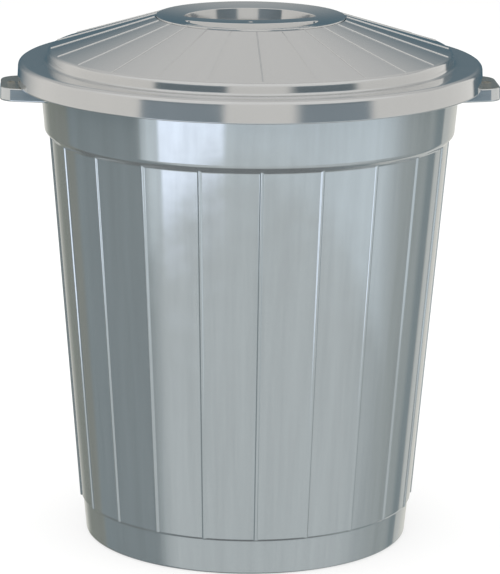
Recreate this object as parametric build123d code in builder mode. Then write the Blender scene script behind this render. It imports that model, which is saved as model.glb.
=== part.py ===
from build123d import *
import os
from math import atan, cos, degrees, hypot, radians, sin

# Round plastic trash can with a lift-off lid: millimetres, +Z up, origin at the
# centre of the base on the ground, +X through the two lugs, -Y is the front.

# ---------------------------------------------------------------- bin body
WALL = 2.4            # wall thickness, measured horizontally
R_FOOT = 165.5        # outer radius where the bin stands
R_BASE_TOP = 168.9    # plain base ring, outer radius at its top
Z_BASE_TOP = 35.4
R_PANEL_BOT = 171.1   # ribbed wall, outer radius between the ribs
Z_PANEL_BOT = 37.9
R_PANEL_TOP = 201.6
Z_PANEL_TOP = 413.8
R_COLLAR_BOT = 207.5  # smooth collar under the rim
Z_COLLAR_BOT = 420.2
R_COLLAR_TOP = 212.9
Z_RIM_UNDER = 484.8   # underside of the turned-over rim
Z_RIM = 487.4         # top of the rim, where the lid rests
R_RIM = 229.6         # outer radius of the rim
Z_RIM_LIP = 476.0     # lower end of the rim's outer lip
T_RIM_LIP = 2.4
R_STAND = 151.5       # inner radius of the standing ring
T_STAND = 2.6
Z_FLOOR_UNDER = 7.0   # the floor is raised off the ground
T_FLOOR = 3.0

N_BODY_RIBS = 21      # upright beads round the wall, one of them at the front
BODY_RIB_W = 4.4
BODY_RIB_H = 1.45
BODY_RIB_SINK = 0.8   # how far a bead reaches into the wall

# lugs on +X and -X
LUG_TOP = 467.6
LUG_BOT = 454.3
LUG_TIP = 252.2       # distance of the tip from the axis
LUG_ROOT_X = 195.0
LUG_ROOT_Y = 48.6     # half-width at the root
LUG_TIP_Y = 36.8      # half-width at the tip before its corners are rounded
LUG_CORNER = 20.0
LUG_FLARE = 12.0      # hollow radius where a lug runs out into the collar
LUG_CORE = 209.0      # circle inside the wall that the lugs grow from
T_LUG = 2.5
LUG_MARK_X = 241.0    # ringed dimple on a lug's top

# ---------------------------------------------------------------- lid
T_LID = 2.2
R_SKIRT_BOT = 235.0
Z_SKIRT_BOT = 467.9
R_SKIRT_TOP = 233.9
Z_SKIRT_TOP = 490.0
R_FLANGE_IN = 205.6
Z_FLANGE_IN = 489.9
R_STEP_TOP = 204.3
Z_STEP_TOP = 501.0
CONE_DROP = 0.3085    # fall of the cone per mm of radius
R_SEAT = 95.8         # round seat for the handle
Z_SEAT = 532.0
R_HOLE = 84.0
Z_SEAT_UNDER = 529.5

N_LID_RIBS = 24       # raised radial lines on the cone
LID_RIB_W = 1.3
LID_RIB_H = 0.6
LID_RIB_SINK = 0.9

# ---------------------------------------------------------------- handle
R_HANDLE = 95.4
Z_DISH_MID = 529.0    # dish height at the centre
DISH_RHO = 655.0      # sphere radius of the dish
T_HANDLE = 2.2
R_SPIGOT = 83.6
T_SPIGOT = 2.2
Z_SPIGOT = 524.0
R_POCKET = 65.2       # finger pockets, measured on their floor
BAR_HALF = 15.9       # half-width of the bar between the pockets, at the floor
POCKET_DRAFT = 9.5    # degrees; the pockets widen upwards
POCKET_FLOOR = 507.0
T_POCKET = 2.0
POCKET_CORNER = 1.6
N_HOOKS = 6
HOOK_W = 14.0
HOOK_OUT = 2.2
HOOK_H = 3.2


def cone_z(r):
    """Height of the lid's cone at radius r."""
    return Z_STEP_TOP + (R_STEP_TOP - r) * CONE_DROP


def dish_z(r):
    """Height of the dished top at radius r."""
    return Z_DISH_MID + DISH_RHO - (DISH_RHO**2 - r**2) ** 0.5


os.makedirs("parts", exist_ok=True)

# ================================================================ bin body
# Each bead lies along a straight line of the tapered wall.
taper = (R_PANEL_TOP - R_PANEL_BOT) / (Z_PANEL_TOP - Z_PANEL_BOT)
rib_z0 = Z_PANEL_BOT - 1.0
rib_z1 = Z_PANEL_TOP + 3.6
rib_r0 = R_PANEL_BOT + taper * (rib_z0 - Z_PANEL_BOT)
rib_len = hypot(rib_z1 - rib_z0, taper * (rib_z1 - rib_z0))
body_rib_planes = []
for i in range(N_BODY_RIBS):
    a = radians(-90 + i * 360 / N_BODY_RIBS)
    body_rib_planes.append(
        Plane(
            origin=(rib_r0 * cos(a), rib_r0 * sin(a), rib_z0),
            x_dir=(-sin(a), cos(a), 0),
            z_dir=(taper * cos(a), taper * sin(a), 1),
        )
    )

with BuildPart() as bin_body:
    # lugs, grown from a disc that the wall then swallows
    with BuildSketch(Plane.XY.offset(LUG_BOT)) as lug_outline:
        Circle(LUG_CORE)
        with BuildLine():
            Polyline(
                (LUG_ROOT_X, -LUG_ROOT_Y),
                (LUG_TIP, -LUG_TIP_Y),
                (LUG_TIP, LUG_TIP_Y),
                (LUG_ROOT_X, LUG_ROOT_Y),
                close=True,
            )
        make_face()
        with BuildLine():
            Polyline(
                (-LUG_ROOT_X, -LUG_ROOT_Y),
                (-LUG_TIP, -LUG_TIP_Y),
                (-LUG_TIP, LUG_TIP_Y),
                (-LUG_ROOT_X, LUG_ROOT_Y),
                close=True,
            )
        make_face()
        fillet(lug_outline.vertices().filter_by(lambda v: abs(v.X) > LUG_TIP - 1), LUG_CORNER)
        fillet(
            lug_outline.vertices().filter_by(
                lambda v: abs(v.X) < LUG_TIP - 30 and abs(abs(v.Y) - LUG_ROOT_Y) < 6
            ),
            LUG_FLARE,
        )
    extrude(amount=LUG_TOP - LUG_BOT)
    fillet(bin_body.edges().filter_by(Plane.XY).group_by(Axis.Z)[-1], 1.7)
    fillet(bin_body.edges().filter_by(Plane.XY).group_by(Axis.Z)[0], 0.9)
    # ringed dimple on each lug
    with BuildSketch(Plane.XY.offset(LUG_TOP - 0.5)):
        with Locations((LUG_MARK_X, 0), (-LUG_MARK_X, 0)):
            Circle(4.6)
    extrude(amount=1.0)
    with BuildSketch(Plane.XY.offset(LUG_TOP + 0.5)):
        with Locations((LUG_MARK_X, 0), (-LUG_MARK_X, 0)):
            Circle(2.9)
    extrude(amount=-1.7, mode=Mode.SUBTRACT)
    # hollow under the lugs
    with BuildSketch(Plane.XY.offset(LUG_BOT)):
        add(lug_outline.sketch_local)
        offset(amount=-T_LUG)
    extrude(amount=LUG_TOP - LUG_BOT - T_LUG, mode=Mode.SUBTRACT)
    # clear the inside
    with BuildSketch(Plane.XZ):
        with BuildLine():
            Polyline((0, 445), (207.9, 445), (209.9, 475), (0, 475), close=True)
        make_face()
    revolve(axis=Axis.Z, mode=Mode.SUBTRACT)

    # wall, floor, collar and rim as one thin section
    with BuildSketch(Plane.XZ) as wall:
        with BuildLine():
            Polyline(
                (0, Z_FLOOR_UNDER),
                (R_STAND, Z_FLOOR_UNDER),
                (R_STAND, 0),
                (R_FOOT, 0),
                (R_BASE_TOP, Z_BASE_TOP),
                (R_PANEL_BOT, Z_PANEL_BOT),
                (R_PANEL_TOP, Z_PANEL_TOP),
                (R_COLLAR_BOT, Z_COLLAR_BOT),
                (R_COLLAR_TOP, Z_RIM_UNDER),
                (R_RIM - T_RIM_LIP, Z_RIM_UNDER),
                (R_RIM - T_RIM_LIP, Z_RIM_LIP),
                (R_RIM, Z_RIM_LIP),
                (R_RIM, Z_RIM),
                (R_COLLAR_TOP - WALL + 0.2, Z_RIM),
                (R_COLLAR_BOT - WALL, Z_COLLAR_BOT + 1.2),
                (R_PANEL_TOP - WALL, Z_PANEL_TOP + 1.1),
                (R_PANEL_BOT - WALL, Z_PANEL_BOT + 0.9),
                (R_BASE_TOP - WALL, Z_BASE_TOP + 0.9),
                (R_FOOT - WALL, T_STAND),
                (R_STAND + T_STAND, T_STAND),
                (R_STAND + T_STAND, Z_FLOOR_UNDER + T_FLOOR),
                (0, Z_FLOOR_UNDER + T_FLOOR),
                close=True,
            )
        make_face()

        def near(r, z):
            return wall.vertices().sort_by_distance(Vector(r, z, 0))[0]

        fillet(near(R_FOOT, 0), 2.4)
        fillet(near(R_STAND, 0), 1.0)
        fillet(near(R_COLLAR_BOT, Z_COLLAR_BOT), 5.0)
        fillet(near(R_COLLAR_BOT - WALL, Z_COLLAR_BOT + 1.2), 3.0)
        fillet(near(R_PANEL_BOT, Z_PANEL_BOT), 0.6)
        fillet(near(R_RIM, Z_RIM), 2.0)
        fillet(near(R_COLLAR_TOP - WALL + 0.2, Z_RIM), 1.6)
        fillet(near(R_COLLAR_TOP, Z_RIM_UNDER), 1.0)
        fillet([near(R_RIM, Z_RIM_LIP), near(R_RIM - T_RIM_LIP, Z_RIM_LIP)], 0.8)
    revolve(axis=Axis.Z)

    # upright beads
    with BuildSketch(*body_rib_planes) as bead:
        with Locations((0, -(BODY_RIB_H - BODY_RIB_SINK) / 2)):
            Rectangle(BODY_RIB_W, BODY_RIB_H + BODY_RIB_SINK)
        fillet(bead.vertices().group_by(Axis.Y)[0], 1.2)
    extrude(amount=rib_len)
bin_body.part.label = "bin_body"
export_step(bin_body.part, "parts/bin_body.step")

# ================================================================ lid
slope = atan(CONE_DROP)
lid_rib_r0 = R_SEAT + 0.8
lid_rib_r1 = R_STEP_TOP - 3.2
lid_rib_len = (lid_rib_r1 - lid_rib_r0) / cos(slope)
lid_rib_planes = []
for i in range(N_LID_RIBS):
    a = radians(-90 + i * 360 / N_LID_RIBS)
    lid_rib_planes.append(
        Plane(
            origin=(lid_rib_r0 * cos(a), lid_rib_r0 * sin(a), cone_z(lid_rib_r0)),
            x_dir=(-sin(a), cos(a), 0),
            z_dir=(cos(a), sin(a), -CONE_DROP),
        )
    )
under = T_LID / cos(slope)
r_inner_corner = R_STEP_TOP - T_LID
z_inner_corner = cone_z(r_inner_corner) - under
r_seat_back = R_STEP_TOP - (Z_SEAT_UNDER + under - Z_STEP_TOP) / CONE_DROP

with BuildPart() as lid:
    with BuildSketch(Plane.XZ) as shell:
        with BuildLine():
            Polyline(
                (R_SKIRT_BOT, Z_SKIRT_BOT),
                (R_SKIRT_TOP, Z_SKIRT_TOP),
                (R_FLANGE_IN, Z_FLANGE_IN),
                (R_STEP_TOP, Z_STEP_TOP),
                (R_SEAT, cone_z(R_SEAT)),
                (R_SEAT, Z_SEAT),
                (R_HOLE, Z_SEAT),
                (R_HOLE, Z_SEAT_UNDER),
                (r_seat_back, Z_SEAT_UNDER),
                (r_inner_corner, z_inner_corner),
                (R_FLANGE_IN - T_LID, Z_FLANGE_IN - T_LID),
                (R_SKIRT_TOP - T_LID, Z_SKIRT_TOP - T_LID),
                (R_SKIRT_BOT - T_LID, Z_SKIRT_BOT),
                close=True,
            )
        make_face()

        def at(r, z):
            return shell.vertices().sort_by_distance(Vector(r, z, 0))[0]

        fillet(at(R_SKIRT_TOP, Z_SKIRT_TOP), 4.6)
        fillet(at(R_SKIRT_TOP - T_LID, Z_SKIRT_TOP - T_LID), 2.6)
        fillet(at(R_FLANGE_IN, Z_FLANGE_IN), 3.0)
        fillet(at(R_STEP_TOP, Z_STEP_TOP), 4.2)
        fillet(at(r_inner_corner, z_inner_corner), 2.2)
        fillet([at(R_SKIRT_BOT, Z_SKIRT_BOT), at(R_SKIRT_BOT - T_LID, Z_SKIRT_BOT)], 0.9)
        fillet(at(R_SEAT, cone_z(R_SEAT)), 0.4)
    revolve(axis=Axis.Z)

    # raised radial lines
    with BuildSketch(*lid_rib_planes) as line:
        with Locations((0, (LID_RIB_H - LID_RIB_SINK) / 2)):
            Rectangle(LID_RIB_W, LID_RIB_H + LID_RIB_SINK)
    extrude(amount=lid_rib_len)
lid.part.label = "lid"
export_step(lid.part, "parts/lid.step")

# ================================================================ handle
with BuildPart() as lid_handle:
    # pocket cups, up to above the dish
    with BuildSketch(Plane.XY.offset(POCKET_FLOOR - T_POCKET)) as cups:
        Circle(R_POCKET + T_POCKET)
        Rectangle(2 * R_POCKET + 20, 2 * (BAR_HALF - T_POCKET), mode=Mode.SUBTRACT)
        fillet(cups.vertices(), POCKET_CORNER + T_POCKET)
    extrude(amount=40, taper=-POCKET_DRAFT)
    fillet(lid_handle.edges().filter_by(Plane.XY).group_by(Axis.Z)[0], 2.4)
    # cut down to the dished top
    with BuildSketch(Plane.XZ):
        with BuildLine():
            ThreePointArc(
                (0, Z_DISH_MID),
                (R_HANDLE / 2, dish_z(R_HANDLE / 2)),
                (R_HANDLE, dish_z(R_HANDLE)),
            )
            Polyline((R_HANDLE, dish_z(R_HANDLE)), (R_HANDLE, 560), (0, 560), (0, Z_DISH_MID))
        make_face()
    revolve(axis=Axis.Z, mode=Mode.SUBTRACT)
    # dished plate, its rim on the seat, and the ring that drops through the hole
    with BuildSketch(Plane.XZ) as dish:
        with BuildLine():
            ThreePointArc(
                (0, Z_DISH_MID),
                (R_HANDLE / 2, dish_z(R_HANDLE / 2)),
                (R_HANDLE, dish_z(R_HANDLE)),
            )
            Polyline(
                (R_HANDLE, dish_z(R_HANDLE)),
                (R_HANDLE, Z_SEAT),
                (R_SPIGOT, Z_SEAT),
                (R_SPIGOT, Z_SPIGOT),
                (R_SPIGOT - T_SPIGOT, Z_SPIGOT),
                (R_SPIGOT - T_SPIGOT, dish_z(R_SPIGOT - T_SPIGOT) - T_HANDLE),
            )
            r_in = R_SPIGOT - T_SPIGOT
            ThreePointArc(
                (r_in, dish_z(r_in) - T_HANDLE),
                (r_in / 2, dish_z(r_in / 2) - T_HANDLE),
                (0, Z_DISH_MID - T_HANDLE),
            )
            Line((0, Z_DISH_MID - T_HANDLE), (0, Z_DISH_MID))
        make_face()
        fillet(
            dish.vertices().sort_by_distance(Vector(R_HANDLE, dish_z(R_HANDLE), 0))[0], 0.6
        )
    revolve(axis=Axis.Z)
    # finger pockets
    with BuildSketch(Plane.XY.offset(POCKET_FLOOR)) as pockets:
        Circle(R_POCKET)
        Rectangle(2 * R_POCKET + 20, 2 * BAR_HALF, mode=Mode.SUBTRACT)
        fillet(pockets.vertices(), POCKET_CORNER)
    extrude(amount=40, taper=-POCKET_DRAFT, mode=Mode.SUBTRACT)
    # snap hooks on the ring
    hook_z = Z_SEAT_UNDER - 0.25
    with BuildSketch(Plane.XY.offset(hook_z - HOOK_H)):
        with PolarLocations(R_SPIGOT + HOOK_OUT / 2 - 0.5, N_HOOKS, start_angle=30):
            Rectangle(HOOK_OUT + 1.0, HOOK_W)
    extrude(amount=HOOK_H)
    # moulding mark in the middle of the bar
    with BuildSketch(Plane.XY.offset(Z_DISH_MID - 0.6)):
        Circle(2.2)
    extrude(amount=0.95)
lid_handle.part.label = "lid_handle"
export_step(lid_handle.part, "parts/lid_handle.step")

for piece in (bin_body, lid, lid_handle):
    box = piece.part.bounding_box()
    print(
        piece.part.label, "solids", len(piece.part.solids()),
        "volume cm3", round(piece.part.volume / 1000, 1),
        "min", [round(v, 2) for v in box.min], "max", [round(v, 2) for v in box.max],
    )
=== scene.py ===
import math

import bpy
from mathutils import Matrix, Vector, geometry


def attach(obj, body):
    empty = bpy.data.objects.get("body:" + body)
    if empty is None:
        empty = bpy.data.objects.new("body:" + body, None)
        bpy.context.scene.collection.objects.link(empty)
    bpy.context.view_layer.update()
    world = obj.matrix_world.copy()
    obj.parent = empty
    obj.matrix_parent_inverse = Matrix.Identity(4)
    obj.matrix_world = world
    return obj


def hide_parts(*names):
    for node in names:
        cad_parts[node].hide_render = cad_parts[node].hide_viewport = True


# Round plastic bin with a lift-off lid. Metres in the scene, millimetres in the
# tables below, +Z up, origin at the centre of the base, lugs on +X and -X,
# front at -Y.

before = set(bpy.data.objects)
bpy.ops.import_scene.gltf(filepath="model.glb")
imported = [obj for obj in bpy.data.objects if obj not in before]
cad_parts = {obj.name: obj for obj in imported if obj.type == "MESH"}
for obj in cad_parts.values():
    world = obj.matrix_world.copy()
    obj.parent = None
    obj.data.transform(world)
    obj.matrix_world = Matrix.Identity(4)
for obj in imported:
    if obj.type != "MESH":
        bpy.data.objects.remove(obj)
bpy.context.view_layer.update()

MM = 0.001

# ---------------------------------------------------------------- dimensions
N_BEADS = 21
N_RIDGES = 24
PANEL_R0, PANEL_Z0 = 171.1, 37.9
PANEL_R1, PANEL_Z1 = 201.6, 413.8
TAPER = (PANEL_R1 - PANEL_R0) / (PANEL_Z1 - PANEL_Z0)
COLLAR_R0, COLLAR_Z0 = 207.5, 420.2
COLLAR_R1, COLLAR_Z1 = 212.9, 485.1
CONE_DROP = 0.3085
STEP_R, STEP_Z = 204.3, 501.0
SEAT_R = 95.8
DISH_Z, DISH_RHO = 529.0, 655.0
HANDLE_R = 95.4
POCKET_R, BAR_HALF, POCKET_FLOOR = 69.3, 12.2, 507.0
MOUTH_Z, DRAFT = 529.2, math.tan(math.radians(9.5))


def cone_z(r):
    return STEP_Z + (STEP_R - r) * CONE_DROP


def dish_z(r):
    return DISH_Z + DISH_RHO - math.sqrt(DISH_RHO**2 - r * r)


def panel_r(z):
    return PANEL_R0 + TAPER * (z - PANEL_Z0)


# ================================================================ mesh tools
class Shell:
    """Collects points in millimetres and faces, then becomes one mesh object."""

    def __init__(self):
        self.points = []
        self.faces = []
        self.mats = []
        self.fixed = {}

    def add(self, x, y, z, normal=None):
        self.points.append((x, y, z))
        if normal is not None:
            self.fixed[len(self.points) - 1] = normal
        return len(self.points) - 1

    def face(self, ids, mat=0):
        ids = [i for k, i in enumerate(ids) if i != ids[k - 1]]
        if len(ids) > 2:
            self.faces.append(ids)
            self.mats.append(mat)

    def band(self, a, b, mat=0, closed=True):
        """Quads between two rows of as many points."""
        n = len(a)
        for j in range(n if closed else n - 1):
            k = (j + 1) % n
            self.face([a[j], a[k], b[k], b[j]], mat)

    def zip_rows(self, a, aa, b, ab, mat=0):
        """Triangles between two closed rows with different numbers of points.
        aa and ab are their angles, each rising from its own first point."""
        i = j = 0
        na, nb = len(a), len(b)
        ta = [v - aa[0] for v in aa] + [2 * math.pi]
        tb = [v - ab[0] for v in ab] + [2 * math.pi]
        while i < na or j < nb:
            if j >= nb or (i < na and ta[i + 1] <= tb[j + 1]):
                self.face([a[i % na], a[(i + 1) % na], b[j % nb]], mat)
                i += 1
            else:
                self.face([a[i % na], b[(j + 1) % nb], b[j % nb]], mat)
                j += 1

    def fan(self, pole, row, start=True, mat=0):
        n = len(row)
        for j in range(n):
            k = (j + 1) % n
            self.face([pole, row[k], row[j]] if start else [row[j], row[k], pole], mat)

    def object(self, name, materials, smooth_angle=None):
        mesh = bpy.data.meshes.new(name)
        mesh.from_pydata([(x * MM, y * MM, z * MM) for x, y, z in self.points], [], self.faces)
        mesh.polygons.foreach_set("material_index", self.mats)
        for m in materials:
            mesh.materials.append(m)
        mesh.shade_smooth()
        if smooth_angle is not None:
            mesh.set_sharp_from_angle(angle=math.radians(smooth_angle))
        mesh.validate()
        mesh.update()
        if self.fixed:
            normals = [tuple(n.vector) for n in mesh.corner_normals]
            for loop in mesh.loops:
                n = self.fixed.get(loop.vertex_index)
                if n is not None:
                    normals[loop.index] = n
            mesh.normals_split_custom_set(normals)
        ob = bpy.data.objects.new(name, mesh)
        bpy.context.scene.collection.objects.link(ob)
        return ob


def rounded(points, seg_deg=22.0, support=0.45):
    """Outline of (r, z, fillet radius, steps on the run after it) corners, travelled
    with the material on the left. Returns a list of (r, z) with the fillets drawn as
    short runs and a support point just outside each fillet. The first and last
    corner are left sharp."""
    n = len(points)
    out = []
    tangents = []
    for i, p in enumerate(points):
        if i in (0, n - 1) or p[2] <= 0:
            tangents.append((p[:2], p[:2], None))
            continue
        a, b, c = Vector(points[i - 1][:2]), Vector(p[:2]), Vector(points[i + 1][:2])
        u, v = (a - b).normalized(), (c - b).normalized()
        ang = u.angle(v)
        t = p[2] / math.tan(ang / 2)
        centre = b + (u + v).normalized() * (p[2] / math.sin(ang / 2))
        tangents.append((tuple(b + u * t), tuple(b + v * t), centre))
    for i, p in enumerate(points):
        t0, t1, centre = tangents[i]
        if centre is None:
            out.append(t0)
        else:
            a0 = math.atan2(t0[1] - centre[1], t0[0] - centre[0])
            a1 = math.atan2(t1[1] - centre[1], t1[0] - centre[0])
            da = (a1 - a0 + math.pi) % (2 * math.pi) - math.pi
            k = max(2, round(abs(math.degrees(da)) / seg_deg))
            for s in range(k + 1):
                ang = a0 + da * s / k
                out.append((centre[0] + p[2] * math.cos(ang), centre[1] + p[2] * math.sin(ang)))
        if i == n - 1:
            break
        # the straight run to the next corner, with support points at its ends
        start, end = Vector(t1), Vector(tangents[i + 1][0])
        run = (end - start).length
        steps = p[3] if len(p) > 3 else 1
        at = [s / steps for s in range(1, steps)]
        if run > 4 * support:
            at = [support / run] + at + [1 - support / run]
        for f in sorted(at):
            out.append(tuple(start.lerp(end, f)))
    return out


def even(count, start=0.0):
    return [start + 2 * math.pi * i / count for i in range(count)]


def ring(shell, r, z, angles):
    return [shell.add(r * math.cos(a), r * math.sin(a), z) for a in angles]


# ================================================================ materials
def nt_new(mat):
    mat.use_nodes = True
    nt = mat.node_tree
    nt.nodes.clear()
    return nt


def mk(nt, kind, **inputs):
    node = nt.nodes.new(kind)
    for key, value in inputs.items():
        if key.startswith("set_"):
            setattr(node, key[4:], value)
    return node


def link(nt, a, b):
    nt.links.new(a, b)


def math_node(nt, op, a, b=None, c=None, clamp=False):
    node = nt.nodes.new("ShaderNodeMath")
    node.operation = op
    node.use_clamp = clamp
    for i, v in enumerate((a, b, c)):
        if v is None:
            continue
        if isinstance(v, (int, float)):
            node.inputs[i].default_value = v
        else:
            nt.links.new(v, node.inputs[i])
    return node.outputs[0]


def silver_plastic(name, base, streak=1.0, grain=0.0, rough=0.10, wave=1.0):
    """Gloss plastic with a fine aluminium-like pigment: faint flow lines, a slight
    waviness, a very fine speckle, and small changes of gloss."""
    mat = bpy.data.materials.new(name)
    nt = nt_new(mat)
    out = mk(nt, "ShaderNodeOutputMaterial")
    bsdf = mk(nt, "ShaderNodeBsdfPrincipled")
    link(nt, bsdf.outputs[0], out.inputs[0])
    bsdf.inputs["Metallic"].default_value = 0.78
    bsdf.inputs["Coat Weight"].default_value = 0.9
    bsdf.inputs["Coat Roughness"].default_value = 0.03
    bsdf.inputs["IOR"].default_value = 1.5

    tc = mk(nt, "ShaderNodeTexCoord")
    # direction round the axis, so flow lines stay upright and close on themselves
    flat = mk(nt, "ShaderNodeVectorMath", set_operation="MULTIPLY")
    flat.inputs[1].default_value = (1, 1, 0)
    link(nt, tc.outputs["Object"], flat.inputs[0])
    unit = mk(nt, "ShaderNodeVectorMath", set_operation="NORMALIZE")
    link(nt, flat.outputs[0], unit.inputs[0])
    around = mk(nt, "ShaderNodeVectorMath", set_operation="SCALE")
    link(nt, unit.outputs[0], around.inputs[0])
    around.inputs[3].default_value = 0.2
    tall = mk(nt, "ShaderNodeVectorMath", set_operation="MULTIPLY")
    tall.inputs[1].default_value = (0, 0, 0.06)
    link(nt, tc.outputs["Object"], tall.inputs[0])
    flow = mk(nt, "ShaderNodeVectorMath", set_operation="ADD")
    link(nt, around.outputs[0], flow.inputs[0])
    link(nt, tall.outputs[0], flow.inputs[1])

    streaks = mk(nt, "ShaderNodeTexNoise")
    streaks.inputs["Scale"].default_value = 95
    streaks.inputs["Detail"].default_value = 3
    streaks.inputs["Roughness"].default_value = 0.55
    link(nt, flow.outputs[0], streaks.inputs["Vector"])

    waves = mk(nt, "ShaderNodeTexNoise")
    waves.inputs["Scale"].default_value = 42
    waves.inputs["Detail"].default_value = 1.5
    link(nt, tc.outputs["Object"], waves.inputs["Vector"])

    speck = mk(nt, "ShaderNodeTexNoise")
    speck.inputs["Scale"].default_value = 2200
    speck.inputs["Detail"].default_value = 1
    link(nt, tc.outputs["Object"], speck.inputs["Vector"])

    # colour: the pigment lies a little differently along each flow line
    ramp = mk(nt, "ShaderNodeMapRange")
    ramp.inputs["From Min"].default_value = 0.3
    ramp.inputs["From Max"].default_value = 0.7
    ramp.inputs["To Min"].default_value = 1 - 0.045 * max(streak, 0.2)
    ramp.inputs["To Max"].default_value = 1 + 0.045 * max(streak, 0.2)
    link(nt, streaks.outputs["Fac"], ramp.inputs["Value"])
    fleck = mk(nt, "ShaderNodeMapRange")
    fleck.inputs["From Min"].default_value = 0.3
    fleck.inputs["From Max"].default_value = 0.7
    fleck.inputs["To Min"].default_value = 0.97
    fleck.inputs["To Max"].default_value = 1.03
    link(nt, speck.outputs["Fac"], fleck.inputs["Value"])
    both = math_node(nt, "MULTIPLY", ramp.outputs[0], fleck.outputs[0])
    tint = mk(nt, "ShaderNodeVectorMath", set_operation="SCALE")
    tint.inputs[0].default_value = base
    link(nt, both, tint.inputs[3])
    link(nt, tint.outputs[0], bsdf.inputs["Base Color"])

    # gloss
    gloss = mk(nt, "ShaderNodeMapRange")
    gloss.inputs["From Min"].default_value = 0.3
    gloss.inputs["From Max"].default_value = 0.7
    gloss.inputs["To Min"].default_value = rough - 0.02
    gloss.inputs["To Max"].default_value = rough + 0.03
    link(nt, waves.outputs["Fac"], gloss.inputs["Value"])
    if grain > 0:
        extra = math_node(nt, "ADD", gloss.outputs[0], 0.25 * grain)
        link(nt, extra, bsdf.inputs["Roughness"])
    else:
        link(nt, gloss.outputs[0], bsdf.inputs["Roughness"])

    # relief in metres: flow lines, waviness, and grain where the mould is textured
    h1 = math_node(nt, "MULTIPLY", streaks.outputs["Fac"], 0.000022 * streak)
    h2 = math_node(nt, "MULTIPLY", waves.outputs["Fac"], 0.000045 * wave)
    height = math_node(nt, "ADD", h1, h2)
    if grain > 0:
        vor = mk(nt, "ShaderNodeTexNoise")
        vor.inputs["Scale"].default_value = 620
        vor.inputs["Detail"].default_value = 3
        link(nt, tc.outputs["Object"], vor.inputs["Vector"])
        h3 = math_node(nt, "MULTIPLY", vor.outputs["Fac"], 0.0006 * grain)
        height = math_node(nt, "ADD", height, h3)
    bump = mk(nt, "ShaderNodeBump")
    bump.inputs["Strength"].default_value = 1.0
    bump.inputs["Distance"].default_value = 1.0
    link(nt, height, bump.inputs["Height"])
    link(nt, bump.outputs[0], bsdf.inputs["Normal"])
    link(nt, bump.outputs[0], bsdf.inputs["Coat Normal"])
    return mat


SILVER = (0.47, 0.49, 0.50)
mat_bin = silver_plastic("bin_plastic", SILVER, rough=0.07, wave=0.45)
LID_SILVER = (0.46, 0.467, 0.468)
mat_lid = silver_plastic("lid_plastic", LID_SILVER, streak=0.0, wave=0.35)
mat_handle = silver_plastic("handle_plastic", LID_SILVER, streak=0.0, wave=0.35)
# lug tops: real grain (bump and extra roughness) on the same silver plastic as the rest of the moulding;
# their dark olive base colour is painted shade
mat_grain_and_shade = silver_plastic("bin_plastic_grained_painted_shade", (0.2, 0.2, 0.17), grain=1.0, rough=0.2)

# ================================================================ bin body
# Cross-section of one bead, from its middle outwards: offset along the wall, height.
BEAD_HALF = [
    (0.2, 1.45), (0.5, 1.42), (0.8, 1.31), (1.05, 1.13), (1.3, 0.88), (1.55, 0.6),
    (1.8, 0.34), (2.0, 0.16), (2.2, 0.05), (2.45, 0.0), (2.9, 0.0),
]
BEAD = [(-s, d) for s, d in reversed(BEAD_HALF)] + BEAD_HALF
PANEL_COLUMNS = 11


def bead_angles(r):
    """Angles and bead heights of all columns of the wall at radius r."""
    out = []
    step = 2 * math.pi / N_BEADS
    edge = BEAD_HALF[-1][0] / r
    for k in range(N_BEADS):
        mid = -math.pi / 2 + k * step
        out += [(mid + s / r, d) for s, d in BEAD]
        left, right = mid + edge, mid + step - edge
        out += [
            (left + (right - left) * f / (PANEL_COLUMNS + 1), None)
            for f in range(1, PANEL_COLUMNS + 1)
        ]
    return out


wall_outline = rounded(
    [
        (0, 7.0, 0, 5),
        (151.5, 7.0, 1.0, 1),
        (151.5, 0, 0.9, 1),
        (165.5, 0, 2.4, 6),
        (168.9, 35.4, 0.35, 1),
        (171.1, 37.9, 0.6, 14),
        (201.6, 413.8, 0.8, 8),
        (207.5, 420.2, 5.0, 8),
        (212.9, 484.8, 1.0, 3),
        (227.2, 484.8, 0.6, 2),
        (227.2, 476.0, 0.8, 1),
        (229.6, 476.0, 0.8, 2),
        (229.6, 487.4, 2.0, 3),
        (210.7, 487.4, 1.6, 8),
        (205.1, 421.4, 3.0, 1),
        (199.2, 414.9, 1.0, 14),
        (168.7, 38.8, 0.5, 1),
        (166.5, 36.3, 0.5, 5),
        (163.1, 2.6, 2.0, 1),
        (154.1, 2.6, 1.0, 1),
        (154.1, 10.0, 1.2, 5),
        (0, 10.0, 0),
    ]
)

bin_shell = Shell()
PLAIN = even(252, -math.pi / 2 - 0.0225)
previous = None
previous_angles = None
pole = None
stage = 0  # 0 under the base, 1 on the outer wall, 2 from the rim inwards
for i, (r, z) in enumerate(wall_outline):
    if stage == 0 and r > 165.2:
        stage = 1
    elif stage == 1 and z > 484.0:
        stage = 2
    if r < 1e-6:
        node = bin_shell.add(0, 0, z)
        if previous is None:
            pole = node
        else:
            bin_shell.fan(node, previous, start=False)
        continue
    if stage == 1:
        # the outer wall carries the bead columns
        cols = bead_angles(r)
        angles = [a for a, _ in cols]
        row = []
        for a, d in cols:
            rr = r
            if d and 36.9 < z < 417.5:
                rr = max(r, panel_r(z) + d)
            row.append(bin_shell.add(rr * math.cos(a), rr * math.sin(a), z))
    else:
        angles = PLAIN
        row = ring(bin_shell, r, z, angles)
    if previous is None:
        bin_shell.fan(pole, row, start=True)
        pole = None
    elif len(previous) == len(row):
        bin_shell.band(previous, row)
    else:
        bin_shell.zip_rows(previous, previous_angles, row, angles)
    previous, previous_angles = row, angles

# ---------------------------------------------------------------- lugs
LUG_TOP, LUG_BOT = 467.6, 454.3
LUG_ROOT = Vector((195.0, 48.6))
LUG_END = Vector((252.2, 36.8))
LUG_R = 20.0
LUG_FLARE = 12.0
CORE = 209.0
ROOT_R = 209.7


def arc(centre, radius, a0, a1, steps, hollow=False):
    """Points with outward normals along an arc. A hollow arc's normals point to its centre."""
    out = []
    for i in range(steps + 1):
        a = a0 + (a1 - a0) * i / steps
        d = Vector((math.cos(a), math.sin(a)))
        out.append((centre + d * radius, -d if hollow else d))
    return out


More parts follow.
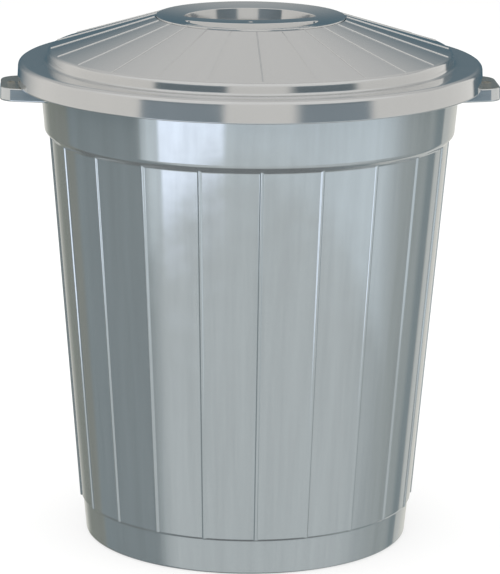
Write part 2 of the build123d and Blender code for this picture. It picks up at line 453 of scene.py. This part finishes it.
def lug_outline():
    """Outline of the right-hand lug seen from above, anticlockwise from the wall on
    the -Y side: (point, outward normal)."""
    d = (LUG_END - LUG_ROOT).normalized()
    n = Vector((-d.y, d.x))
    # flare: circle of radius LUG_FLARE outside the side line and outside the wall's circle
    base = LUG_ROOT + n * LUG_FLARE
    b = base.dot(d)
    t = -b + math.sqrt(b * b - (base.length_squared - (CORE + LUG_FLARE) ** 2))
    fc = base + d * t
    on_line = fc - n * LUG_FLARE
    on_wall = fc * (CORE / fc.length)
    a_line = math.atan2(-n.y, -n.x)
    a_wall = math.atan2(on_wall.y - fc.y, on_wall.x - fc.x)
    flare = arc(fc, LUG_FLARE, a_line, a_wall, 10, hollow=True)
    # rounded tip corner
    v = Vector((0, 1))
    ang = (-d).angle(-v)
    back = LUG_R / math.tan(ang / 2)
    corner = LUG_END + ((-d) + (-v)).normalized() * (LUG_R / math.sin(ang / 2))
    a_side = math.atan2(n.y, n.x)
    tip = arc(corner, LUG_R, 0.0, a_side, 12)
    side_end = LUG_END - d * back
    side = [(side_end.lerp(on_line, f), n) for f in (0.04, 0.5, 0.96)]
    upper = tip + side + flare
    half = [(p, m) for p, m in upper]
    lower = [(Vector((p.x, -p.y)), Vector((m.x, -m.y))) for p, m in reversed(half)]
    flat = [(Vector((LUG_END.x, y)), Vector((1, 0))) for y in (-8.0, 0.0, 8.0)]
    return lower + flat + half


def lug(shell, side):
    """One lug, hollow underneath, as a closed solid whose root lies inside the wall."""
    loop = lug_outline()
    count = len(loop)
    fade = 9
    weights = [min(1.0, min(i, count - 1 - i) / fade) for i in range(count)]
    # closing arc inside the wall
    a_end = math.atan2(loop[-1][0].y, loop[-1][0].x)
    closing = []
    for i in range(1, 24):
        a = a_end - 2 * a_end * i / 24
        closing.append(Vector((math.cos(a), math.sin(a))) * ROOT_R)

    def row(offset, z, hollow=False):
        ids = []
        for (p, n), w in zip(loop, weights):
            q = p + n * offset * w
            if q.length < ROOT_R:
                q = q.normalized() * ROOT_R
            ids.append(shell.add(side * q.x, side * q.y, z))
        for q in closing:
            v = q.normalized() * (ROOT_R + 0.3 if hollow else ROOT_R - 0.3)
            ids.append(shell.add(side * v.x, side * v.y, z))
        return ids

    rows = []
    # hollow underneath, from its roof down to the lower edge
    rows.append(row(-2.5 - 1.2, 465.1, True))
    rows.append(row(-2.5 - 0.35, 464.75, True))
    rows.append(row(-2.5, 463.9, True))
    rows.append(row(-2.5, LUG_BOT + 0.9, True))
    rows.append(row(-2.5 + 0.15, LUG_BOT + 0.35, True))
    rows.append(row(-2.5 + 0.5, LUG_BOT, True))
    # lower edge and outer wall
    for k in range(5):
        a = math.radians(90 * k / 4)
        rows.append(row(-0.9 + 0.9 * math.sin(a), LUG_BOT + 0.9 - 0.9 * math.cos(a)))
    rows.append(row(0, LUG_BOT + 1.5))
    rows.append(row(-0.17, 460.5))
    rows.append(row(-0.35, LUG_TOP - 2.2))
    for k in range(6):
        a = math.radians(90 * k / 5)
        rows.append(row(-2.05 + 1.7 * math.cos(a), LUG_TOP - 1.7 + 1.7 * math.sin(a)))
    rows.append(row(-2.6, LUG_TOP))
    # the top rows and the top face take the grained material, whose dark olive colour is painted shade
    grain_and_shade_row = len(rows) - 2
    for k in range(len(rows) - 1):
        shell.band(rows[k], rows[k + 1], mat=1 if k >= grain_and_shade_row - 2 else 0)

    # roof of the hollow
    shell.face(list(reversed(rows[0])))
    # top face around the ringed dimple
    cx = 241.0
    steps = 40
    rings = []
    for r, z in ((5.2, 467.6), (4.65, 467.6), (4.45, 467.75), (4.1, 468.06), (3.75, 468.1),
                 (3.2, 468.06), (2.95, 467.8), (2.85, 467.2), (2.75, 466.7), (2.3, 466.4)):
        rings.append(
            [
                shell.add(side * (cx + r * math.cos(a)), side * r * math.sin(a), z)
                for a in even(steps)
            ]
        )
    top = rows[-1]
    outline_pts = [Vector(shell.points[i][:2]) for i in top]
    hole_pts = [Vector(shell.points[i][:2]) for i in rings[0]]
    pts = outline_pts + hole_pts
    nt_, nh = len(outline_pts), len(hole_pts)
    edges = [(i, (i + 1) % nt_) for i in range(nt_)]
    edges += [(nt_ + i, nt_ + (i + 1) % nh) for i in range(nh)]
    _, _, found, orig, _, _ = geometry.delaunay_2d_cdt(pts, edges, [], 0, 1e-7)
    faces = [[orig[i][0] for i in f] for f in found]
    ids = list(top) + list(rings[0])
    for f in faces:
        c = sum((pts[i] for i in f), Vector((0, 0))) / len(f)
        if (c - Vector((side * cx, 0))).length < 5.1:
            continue
        if not inside(c, outline_pts):
            continue
        shell.face([ids[i] for i in f], mat=1)
    for k in range(len(rings) - 1):
        shell.band(rings[k], rings[k + 1], mat=1)
    shell.face(rings[-1], mat=1)


def inside(p, poly):
    hit = False
    n = len(poly)
    for i in range(n):
        a, b = poly[i], poly[(i + 1) % n]
        if (a.y > p.y) != (b.y > p.y):
            if p.x < (b.x - a.x) * (p.y - a.y) / (b.y - a.y) + a.x:
                hit = not hit
    return hit


for side in (1, -1):
    lug(bin_shell, side)

bin_ob = bin_shell.object("bin_body_shell", [mat_bin, mat_grain_and_shade])
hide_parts("bin_body")
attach(bin_ob, "bin")

# ================================================================ lid
RIDGE_HALF = [
    (0.1, 0.78), (0.24, 0.76), (0.36, 0.68), (0.45, 0.54), (0.52, 0.34),
    (0.58, 0.13), (0.66, 0.02), (0.78, 0.0), (1.1, 0.0),
]
RIDGE = [(-s, d) for s, d in reversed(RIDGE_HALF)] + RIDGE_HALF
CONE_COLUMNS = 7


def ridge_angles(r):
    out = []
    step = 2 * math.pi / N_RIDGES
    edge = RIDGE_HALF[-1][0] / r
    for k in range(N_RIDGES):
        mid = -math.pi / 2 + k * step
        out += [(mid + s / r, d) for s, d in RIDGE]
        left, right = mid + edge, mid + step - edge
        out += [
            (left + (right - left) * f / (CONE_COLUMNS + 1), None)
            for f in range(1, CONE_COLUMNS + 1)
        ]
    return out


T_LID = 2.2
slope = math.atan(CONE_DROP)
under = T_LID / math.cos(slope)
r_in = STEP_R - T_LID
z_in = cone_z(r_in) - under
seat_back = STEP_R - (529.5 + under - STEP_Z) / CONE_DROP

# travelled with the material on the left: from the hole, under the seat and the cone,
# down the inside of the skirt, round its edge, and back over the outside
lid_outline = rounded(
    [
        (84.0, 530.8, 0, 1),
        (84.0, 529.5, 0.3, 1),
        (seat_back, 529.5, 1.0, 8),
        (r_in, z_in, 2.2, 2),
        (203.4, 487.75, 1.2, 3),
        (231.7, 487.8, 2.6, 3),
        (232.8, 467.9, 0.9, 1),
        (235.0, 467.9, 0.9, 4),
        (233.9, 490.0, 4.6, 4),
        (205.6, 489.9, 3.0, 3),
        (204.3, 501.0, 4.2, 8),
        (95.7, cone_z(95.7), 0.4, 1),
        (95.7, 532.0, 0.35, 2),
        (84.0, 532.0, 0.3, 1),
        (84.0, 530.8, 0),
    ]
)
# the cone's run gets rows of its own, close together at the ends of the raised lines
cone_run = [p for p in lid_outline if abs(p[1] - cone_z(p[0])) < 0.02 and 96.0 < p[0] < 204.0]
r_hi, r_lo = max(p[0] for p in cone_run), min(p[0] for p in cone_run)
at = lid_outline.index(cone_run[0])
rows_r = [r_hi, r_hi - 0.25, r_hi - 0.45, r_hi - 0.6, r_hi - 0.85, r_hi - 1.3]
rows_r += [r_hi - 2.2 - (r_hi - r_lo - 4.4) * f / 9 for f in range(10)]
rows_r += [r_lo + 1.3, r_lo + 0.85, r_lo + 0.6, r_lo + 0.45, r_lo + 0.25, r_lo]
lid_outline = (
    [p for p in lid_outline[:at]]
    + [(r, cone_z(r)) for r in rows_r]
    + [p for p in lid_outline[at:] if p not in cone_run]
)
lid_shell = Shell()
LID_PLAIN = even(336, -math.pi / 2 - 0.015)
first = None
previous = None
cone_dir = Vector((math.sin(slope), math.cos(slope)))
for i, (r, z) in enumerate(lid_outline[:-1]):
    on_cone = abs(z - cone_z(r)) < 0.02 and r_lo - 0.01 < r < r_hi + 0.01
    if on_cone:
        cols = ridge_angles(r)
        angles = [a for a, _ in cols]
        run = min(r - r_lo - 0.3, r_hi - 0.3 - r)
        h = math.sin(math.radians(90) * min(1.0, max(0.0, run / 0.6)))
        row = []
        for a, d in cols:
            lift = (d or 0.0) * h
            rr = r + cone_dir.x * lift
            zz = z + cone_dir.y * lift
            row.append(lid_shell.add(rr * math.cos(a), rr * math.sin(a), zz))
    else:
        angles = LID_PLAIN
        row = ring(lid_shell, r, z, angles)
    if previous is None:
        first, first_angles = row, angles
    elif len(previous) == len(row):
        lid_shell.band(previous, row)
    else:
        lid_shell.zip_rows(previous, previous_angles, row, angles)
    previous, previous_angles = row, angles
lid_shell.band(previous, first)
lid_ob = lid_shell.object("lid_shell", [mat_lid])
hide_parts("lid")
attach(lid_ob, "lid")

# ================================================================ handle
handle = Shell()
EDGE_R = 0.66
MOUTH_R = 0.7
CORNER = 5.5


def dish_normal(x, y):
    n = Vector((-x, -y, DISH_RHO))
    n = Vector((-x / DISH_RHO, -y / DISH_RHO, math.sqrt(1 - (x * x + y * y) / DISH_RHO**2)))
    return tuple(n.normalized())


def pocket_loop(sign, arc_steps=56, line_steps=40):
    """D-shaped outline of a pocket, anticlockwise, as (point, outward normal).
    sign is -1 for the front pocket and +1 for the back one."""
    b, big, q = BAR_HALF, POCKET_R, CORNER
    cx = math.sqrt((big - q) ** 2 - (b + q) ** 2)
    cy = b + q
    a_c = math.atan2(cy, cx)
    pts = []
    # back pocket first: the straight side runs along +X at y = b
    for i in range(line_steps + 1):
        x = -cx + 2 * cx * i / line_steps
        pts.append((Vector((x, b)), Vector((0, -1))))
    pts += arc(Vector((cx, cy)), q, -math.pi / 2, a_c, 8)[1:]
    pts += arc(Vector((0, 0)), big, a_c, math.pi - a_c, arc_steps)[1:]
    pts += arc(Vector((-cx, cy)), q, math.pi - a_c, 1.5 * math.pi, 8)[1:-1]
    if sign < 0:
        pts = [(-p, -n) for p, n in pts]
    return pts


def fill_disc(outer_pts, holes, extra):
    """Triangles that fill a round region with holes. Returns points and faces."""
    pts = [Vector(p) for p in outer_pts]
    edges = [(i, (i + 1) % len(pts)) for i in range(len(pts))]
    start = len(pts)
    for h in holes:
        n = len(h)
        pts += [Vector(p) for p in h]
        edges += [(start + i, start + (i + 1) % n) for i in range(n)]
        start += n
    fixed = len(pts)
    pts += [Vector(p) for p in extra]
    res = geometry.delaunay_2d_cdt(pts, edges, [], 0, 1e-7)
    faces = []
    for f in [[res[3][i][0] for i in face] for face in res[2]]:
        c = sum((pts[i] for i in f), Vector((0, 0))) / len(f)
        if any(inside(c, [Vector(p) for p in h]) for h in holes):
            continue
        faces.append(list(f))
    return pts, faces, fixed


HN = 288
HANDLE_A = even(HN)
loops = {s: pocket_loop(s) for s in (-1, 1)}


def sheet_points(limit, margin):
    """Points spread over a disc, clear of the pockets."""
    out = []
    r = 4.0
    while r < limit - 2.0:
        n = max(8, int(2 * math.pi * r / 5.0))
        for i in range(n):
            a = 2 * math.pi * (i + 0.5 * (int(r) % 2)) / n
            p = Vector((r * math.cos(a), r * math.sin(a)))
            if p.length < POCKET_R + margin and abs(p.y) > BAR_HALF - margin:
                continue
            if p.length < 4.2:
                continue
            out.append(p)
        r += 4.5
    return out


# top sheet
r_top = HANDLE_R - EDGE_R
outer_top = [Vector((r_top * math.cos(a), r_top * math.sin(a))) for a in HANDLE_A]
mouths = {s: [p + n * MOUTH_R for p, n in loops[s]] for s in (-1, 1)}
mark = [Vector((3.0 * math.cos(a), 3.0 * math.sin(a))) for a in even(24)]
pts, faces, _ = fill_disc(outer_top, [mouths[-1], mouths[1], mark], sheet_points(r_top, MOUTH_R + 1.5))
top_ids = [
    handle.add(p.x, p.y, dish_z(p.length), dish_normal(p.x, p.y)) for p in pts
]
for f in faces:
    handle.face([top_ids[i] for i in f])
outer_ids = top_ids[:HN]
offset = HN
mouth_ids = {}
for s in (-1, 1):
    mouth_ids[s] = top_ids[offset : offset + len(loops[s])]
    offset += len(loops[s])
mark_ids = top_ids[offset : offset + 24]

# small moulding mark in the middle of the bar: a low ring with a dimple
row = mark_ids
for r, dz in ((2.45, 0.0), (2.2, 0.1), (1.9, 0.3), (1.5, 0.35), (1.05, 0.3), (0.8, 0.08), (0.5, -0.02)):
    nxt = [handle.add(r * math.cos(a), r * math.sin(a), dish_z(r) + dz) for a in even(24)]
    handle.band(row, nxt)
    row = nxt
handle.fan(handle.add(0, 0, dish_z(0) - 0.03), row, start=False)

# pockets: rounded mouth, wall, rounded floor
FLOOR_R = 1.2
for s in (-1, 1):
    loop = loops[s]
    prev = mouth_ids[s]
    top_at = [dish_z((p + n * MOUTH_R).length) for p, n in loop]

    def pocket_row(off, z_of):
        return [
            handle.add((p + n * off).x, (p + n * off).y, z_of(i)) for i, (p, n) in enumerate(loop)
        ]

    for k in range(1, 6):
        a = math.radians(90 * k / 5)
        nxt = pocket_row(
            MOUTH_R * (1 - math.sin(a)), lambda i: top_at[i] - MOUTH_R * (1 - math.cos(a))
        )
        handle.band(prev, nxt)
        prev = nxt
    low = POCKET_FLOOR + FLOOR_R
    for f in (0.03, 0.25, 0.5, 0.75, 0.97):
        nxt = pocket_row(-DRAFT * (MOUTH_Z - low) * f, lambda i: (top_at[i] - MOUTH_R) * (1 - f) + low * f)
        handle.band(prev, nxt)
        prev = nxt
    deep = DRAFT * (MOUTH_Z - low)
    for k in range(0, 6):
        a = math.radians(90 * k / 5)
        nxt = pocket_row(
            -deep - FLOOR_R * (1 - math.cos(a)), lambda i: POCKET_FLOOR + FLOOR_R * (1 - math.sin(a))
        )
        handle.band(prev, nxt)
        prev = nxt
    handle.face(list(prev))

# rim, seat face and the ring that drops through the seat's hole
z_e = dish_z(HANDLE_R)
rim = []
for k in range(1, 6):
    a = math.radians(90 * k / 5)
    rim.append((HANDLE_R - EDGE_R + EDGE_R * math.sin(a), dish_z(r_top) + EDGE_R * (math.cos(a) - 1)))
rim += [
    (HANDLE_R, 532.5), (HANDLE_R - 0.3, 532.05), (HANDLE_R - 0.8, 532.02), (84.2, 532.02), (83.8, 531.9),
    (83.6, 531.5), (83.6, 524.6), (83.4, 524.1), (83.0, 524.0), (82.0, 524.0), (81.6, 524.1), (81.4, 524.6),
]
prev = outer_ids
for r, z in rim:
    nxt = ring(handle, r, z, HANDLE_A)
    handle.band(nxt, prev)
    prev = nxt

# underside sheet with the outside of the two pockets
T_H = 2.2
under_r = 81.4
outer_low = [Vector((under_r * math.cos(a), under_r * math.sin(a))) for a in HANDLE_A]
cups = {s: [p + n * 2.0 for p, n in loops[s]] for s in (-1, 1)}
pts, faces, _ = fill_disc(outer_low, [cups[-1], cups[1]], sheet_points(under_r, 4.0))
low_ids = [handle.add(p.x, p.y, dish_z(p.length) - T_H) for p in pts]
for f in faces:
    handle.face([low_ids[i] for i in reversed(f)])
handle.band(low_ids[:HN], prev)
offset = HN
for s in (-1, 1):
    loop = loops[s]
    prev = low_ids[offset : offset + len(loop)]
    offset += len(loop)
    z_up = [handle.points[i][2] for i in prev]
    for f in (0.04, 0.5, 0.97):
        nxt = [
            handle.add(
                (p + n * (2.0 - 3.7 * f)).x,
                (p + n * (2.0 - 3.7 * f)).y,
                z_up[i] * (1 - f) + 507.4 * f,
            )
            for i, (p, n) in enumerate(loop)
        ]
        handle.band(nxt, prev)
        prev = nxt
    for k in range(0, 6):
        a = math.radians(90 * k / 5)
        nxt = [
            handle.add(
                (p + n * (-1.7 - 2.4 * (1 - math.cos(a)))).x,
                (p + n * (-1.7 - 2.4 * (1 - math.cos(a)))).y,
                507.4 - 2.4 * math.sin(a),
            )
            for p, n in loop
        ]
        handle.band(nxt, prev)
        prev = nxt
    handle.face(list(reversed(prev)))

handle_ob = handle.object("lid_handle_shell", [mat_handle])
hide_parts("lid_handle")
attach(handle_ob, "lid")

# snap hooks on the ring
hooks = Shell()
for k in range(6):
    a0 = math.radians(30 + 60 * k)
    rows = []
    for r0, r1, z in ((82.6, 84.0, 529.2), (82.6, 85.6, 528.9), (82.6, 85.8, 528.6), (82.6, 84.2, 526.2), (82.6, 83.8, 526.05)):
        row = []
        for i in range(9):
            a = a0 + (i / 8 - 0.5) * 14.0 / 84.0
            row.append(hooks.add(r1 * math.cos(a), r1 * math.sin(a), z))
        for i in range(8, -1, -1):
            a = a0 + (i / 8 - 0.5) * 14.0 / 84.0
            row.append(hooks.add(r0 * math.cos(a), r0 * math.sin(a), z))
        rows.append(row)
    hooks.face(list(rows[0]))
    for k2 in range(len(rows) - 1):
        hooks.band(rows[k2 + 1], rows[k2])
    hooks.face(list(reversed(rows[-1])))
hooks_ob = hooks.object("lid_handle_hooks", [mat_handle], smooth_angle=30)
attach(hooks_ob, "lid")

# ================================================================ floor
floor_mesh = bpy.data.meshes.new("floor")
floor_mesh.from_pydata([(-9, -9, 0), (9, -9, 0), (9, 9, 0), (-9, 9, 0)], [], [(0, 1, 2, 3)])
floor = bpy.data.objects.new("floor", floor_mesh)
bpy.context.scene.collection.objects.link(floor)
floor.location.z = -0.0004
fmat = bpy.data.materials.new("pale_floor")
fnt = nt_new(fmat)
fo = mk(fnt, "ShaderNodeOutputMaterial")
fb = mk(fnt, "ShaderNodeBsdfDiffuse")
fb.inputs[0].default_value = (0.92, 0.92, 0.92, 1)
# a little light of its own keeps the table pale right up to the bin
fe = mk(fnt, "ShaderNodeEmission")
fe.inputs[0].default_value = (1.0, 1.0, 1.0, 1)
fm = mk(fnt, "ShaderNodeMixShader")
fm.inputs[0].default_value = 0.6
link(fnt, fb.outputs[0], fm.inputs[1])
link(fnt, fe.outputs[0], fm.inputs[2])
link(fnt, fm.outputs[0], fo.inputs[0])
floor_mesh.materials.append(fmat)
floor.visible_glossy = False

# ================================================================ camera
D, H = 3.2154, 1.0268
PITCH, ROLL, YAW, PSI = (math.radians(v) for v in (13.507, 0.648, 0.04, 3.5))
cam_data = bpy.data.cameras.new("camera")
cam_data.lens = 201.957
cam_data.sensor_width = 36
cam_data.sensor_fit = "AUTO"
cam_data.clip_start = 0.05
cam_data.clip_end = 60
cam = bpy.data.objects.new("camera", cam_data)
bpy.context.scene.collection.objects.link(cam)
cam.matrix_world = (
    Matrix.Translation((-D * math.sin(PSI), -D * math.cos(PSI), H))
    @ Matrix.Rotation(-PSI, 4, "Z")
    @ Matrix.Rotation(-YAW, 4, "Z")
    @ Matrix.Rotation(math.pi / 2 - PITCH, 4, "X")
    @ Matrix.Rotation(ROLL, 4, "Z")
)
bpy.context.scene.camera = cam
bpy.context.scene.view_settings.view_transform = "Standard"
bpy.context.scene.view_settings.look = "None"

# ================================================================ light
# A soft lamp overhead and one in front: they give the even light, and gloss doesn't
# show them, because the panels of the studio below stand for what it shows.
def lamp(name, where, size, power):
    data = bpy.data.lights.new(name, "AREA")
    data.shape = "RECTANGLE"
    data.size, data.size_y = size
    data.energy = power
    ob = bpy.data.objects.new(name, data)
    bpy.context.scene.collection.objects.link(ob)
    ob.location = where
    ob.rotation_euler = (Vector((0, 0, 0.25)) - Vector(where)).to_track_quat("-Z", "Y").to_euler()
    ob.visible_glossy = False
    ob.visible_camera = False
    return ob


lamp("overhead", (0.0, 0.3, 3.2), (4.0, 4.0), 95)
lamp("front_fill", (-0.6, -3.4, 1.7), (2.4, 2.4), 22)

# The studio round the bin: soft panels, the gaps between them and the pale table,
# laid out by azimuth (from the camera's side, + to the right) and elevation, in degrees.
world = bpy.data.worlds.new("studio")
bpy.context.scene.world = world
world.use_nodes = True
wn = world.node_tree
wn.nodes.clear()
w_out = mk(wn, "ShaderNodeOutputWorld")
w_tc = mk(wn, "ShaderNodeTexCoord")
w_rot = mk(wn, "ShaderNodeVectorRotate", set_rotation_type="Z_AXIS")
w_rot.inputs["Angle"].default_value = PSI
link(wn, w_tc.outputs["Generated"], w_rot.inputs["Vector"])
w_sep = mk(wn, "ShaderNodeSeparateXYZ")
link(wn, w_rot.outputs[0], w_sep.inputs[0])
neg_y = math_node(wn, "MULTIPLY", w_sep.outputs[1], -1.0)
az = math_node(wn, "MULTIPLY", math_node(wn, "ARCTAN2", w_sep.outputs[0], neg_y), 180 / math.pi)
el = math_node(
    wn, "MULTIPLY", math_node(wn, "ARCSINE", math_node(wn, "MAXIMUM", math_node(wn, "MINIMUM", w_sep.outputs[2], 1.0), -1.0)), 180 / math.pi
)


def ease(value, lo, hi):
    node = mk(wn, "ShaderNodeMapRange", set_interpolation_type="SMOOTHSTEP")
    link(wn, value, node.inputs["Value"])
    node.inputs["From Min"].default_value = lo
    node.inputs["From Max"].default_value = hi
    return node.outputs["Result"]


state = None


def light_panel(colour, az_range=None, az_soft=(2, 2), el_range=(-90, 90), el_soft=(2, 2), level=1.0):
    """Lays a soft-edged panel over what is there already."""
    global state
    factor = None
    if az_range is not None:
        lo, hi = az_range
        mid, half = (lo + hi) / 2, (hi - lo) / 2
        soft_lo, soft_hi = az_soft
        d = math_node(wn, "SUBTRACT", az, mid - 540.0)
        d = math_node(wn, "MODULO", d, 360.0)
        d = math_node(wn, "SUBTRACT", d, 180.0)
        a = ease(d, -half - soft_lo, -half + soft_lo)
        b = ease(math_node(wn, "MULTIPLY", d, -1.0), -half - soft_hi, -half + soft_hi)
        factor = math_node(wn, "MULTIPLY", a, b)
    if el_range != (-90, 90):
        a = ease(el, el_range[0] - el_soft[0], el_range[0] + el_soft[0])
        b = ease(math_node(wn, "MULTIPLY", el, -1.0), -el_range[1] - el_soft[1], -el_range[1] + el_soft[1])
        f = math_node(wn, "MULTIPLY", a, b)
        factor = f if factor is None else math_node(wn, "MULTIPLY", factor, f)
    mix = mk(wn, "ShaderNodeMix", set_data_type="RGBA")
    if factor is None:
        mix.inputs[0].default_value = 1.0
    else:
        link(wn, math_node(wn, "MULTIPLY", factor, level), mix.inputs[0])
    if state is None:
        mix.inputs[6].default_value = (*colour, 1)
    else:
        link(wn, state, mix.inputs[6])
    mix.inputs[7].default_value = (*colour, 1)
    state = mix.outputs[2]


BLUE_DARK = (0.06, 0.115, 0.15)
CREAM = (1.02, 0.99, 0.94)
# dark room at the level of the bin
light_panel(BLUE_DARK)
# ceiling, brighter the higher
light_panel((0.72, 0.71, 0.69), el_range=(26, 140), el_soft=(19, 5))
# high front panel
light_panel((1.11, 1.10, 1.08), (-105, 105), (25, 25), (21, 100), (3, 20))
# gaps are lighter towards the table
light_panel((0.22, 0.31, 0.38), (-100, 100), (20, 20), (-40, -4), (2, 4))
light_panel((0.25, 0.33, 0.39), (-60, 66), (4, 4), (8, 18), (1.5, 3))
# front, left and right panels at the bin's level
light_panel((0.99, 0.97, 0.93), (-12.5, 23), (2.5, 4), (-12, 30), (1, 4))
light_panel(CREAM, (-140, -54), (22, 2), (-12, 30), (1, 4))
light_panel((0.98, 0.96, 0.92), (61, 143), (3.5, 2), (-12, 30), (1, 4))
# table: olive behind and at the left, grey-blue beside the bin, paler to the right
light_panel((0.22, 0.24, 0.21), el_range=(-100, -10.6), el_soft=(5, 0.7))
light_panel((0.12, 0.14, 0.14), el_range=(-100, -32), el_soft=(5, 5))
light_panel((0.20, 0.26, 0.28), (-122, 140), (3, 6), (-100, -10.6), (5, 0.7))
light_panel((0.36, 0.41, 0.41), (92, 127), (12, 4), (-100, -10.6), (5, 0.7))
light_panel((0.66, 0.72, 0.73), (-60, 92), (10, 26), (-100, -10.6), (5, 0.7))
light_panel((0.85, 0.96, 1.02), (-62, 90), (4, 15), (-20.75, -10.6), (0.3, 0.7))
light_panel((0.60, 0.62, 0.60), (138, 181), (2, 5), (-100, -10.6), (5, 0.7))
light_panel((0.66, 0.66, 0.62), (150, 202), (8, 12), (-20.6, -10.6), (0.6, 0.7))
light_panel((1.68, 1.84, 2.12), (-52, -14), (1.4, 2), (-20.6, -10.6), (0.15, 0.7))
# the table's shade beside the bin
light_panel((0.12, 0.14, 0.15), el_range=(-100, -64), el_soft=(5, 12))

w_bg = mk(wn, "ShaderNodeBackground")
link(wn, state, w_bg.inputs[0])
w_back = mk(wn, "ShaderNodeBackground")
w_back.inputs[0].default_value = (0.97, 0.97, 0.97, 1)
w_lp = mk(wn, "ShaderNodeLightPath")
w_mix = mk(wn, "ShaderNodeMixShader")
link(wn, w_lp.outputs["Is Camera Ray"], w_mix.inputs[0])
link(wn, w_bg.outputs[0], w_mix.inputs[1])
link(wn, w_back.outputs[0], w_mix.inputs[2])
link(wn, w_mix.outputs[0], w_out.inputs[0])
